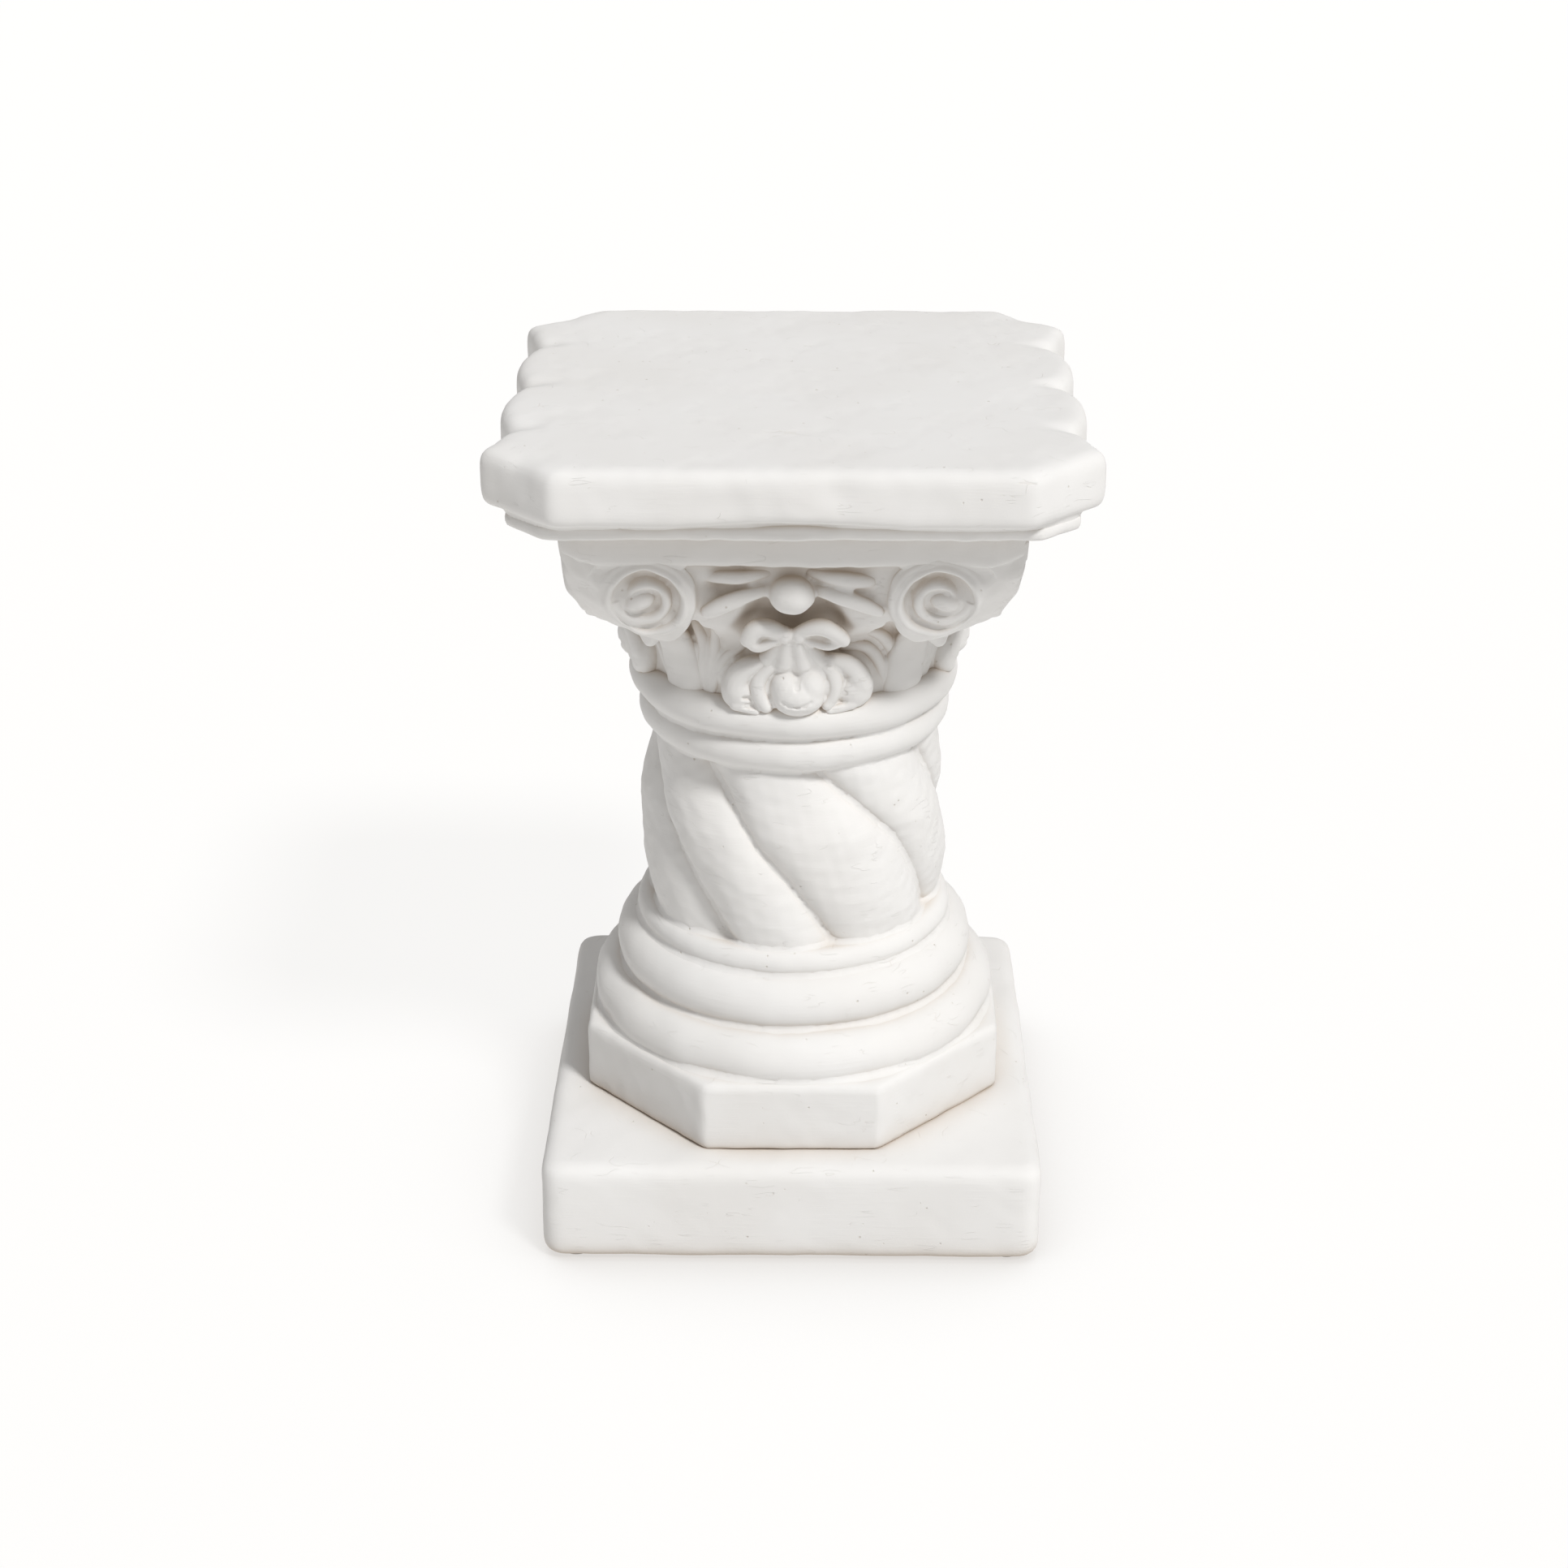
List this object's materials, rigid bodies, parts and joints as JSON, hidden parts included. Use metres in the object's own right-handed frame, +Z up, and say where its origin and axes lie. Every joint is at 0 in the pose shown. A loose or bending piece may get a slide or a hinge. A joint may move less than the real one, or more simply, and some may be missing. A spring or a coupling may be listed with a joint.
{
  "type": "pedestal column stand",
  "caption": "Short classical pedestal with a square plinth, stepped round base, twisted shaft, scrolled capital and scalloped top slab.",
  "frame": {"origin": "centre of the underside, on the floor", "axes": "+Z up, front towards -Y, scalloped edges of the slab at +X and -X"},
  "size_m": [0.4098, 0.41, 0.618],
  "materials": {
    "plaster": "matte cast plaster",
    "steel": "plain steel",
    "felt": "felt"
  },
  "bodies": {
    "root": {"plinth": "plaster", "octagon_step": "plaster", "lower_torus": "plaster", "upper_torus": "plaster", "base_fillet_ring": "plaster", "twisted_shaft": "plaster", "lower_neck_ring": "plaster", "upper_neck_ring": "plaster", "capital_bell": "plaster", "volute_front_right": "plaster", "volute_back_right": "plaster", "volute_back_left": "plaster", "volute_front_left": "plaster", "corner_leaf_front_right": "plaster", "corner_leaf_back_right": "plaster", "corner_leaf_back_left": "plaster", "corner_leaf_front_left": "plaster", "fleuron_bosses": "plaster", "husk_petals": "plaster", "ribbon_bows": "plaster", "palmette_stems": "plaster", "palmette_buds": "plaster", "palmette_collars": "plaster", "palmette_petals": "plaster", "side_leaves": "plaster", "abacus_block": "plaster", "bed_mould": "plaster", "top_slab": "plaster", "tie_rod": "steel", "lower_bearing_plate": "steel", "upper_bearing_plate": "steel", "lower_nut": "steel", "upper_nut": "steel", "felt_pads": "felt"}
  },
  "joints": []
}
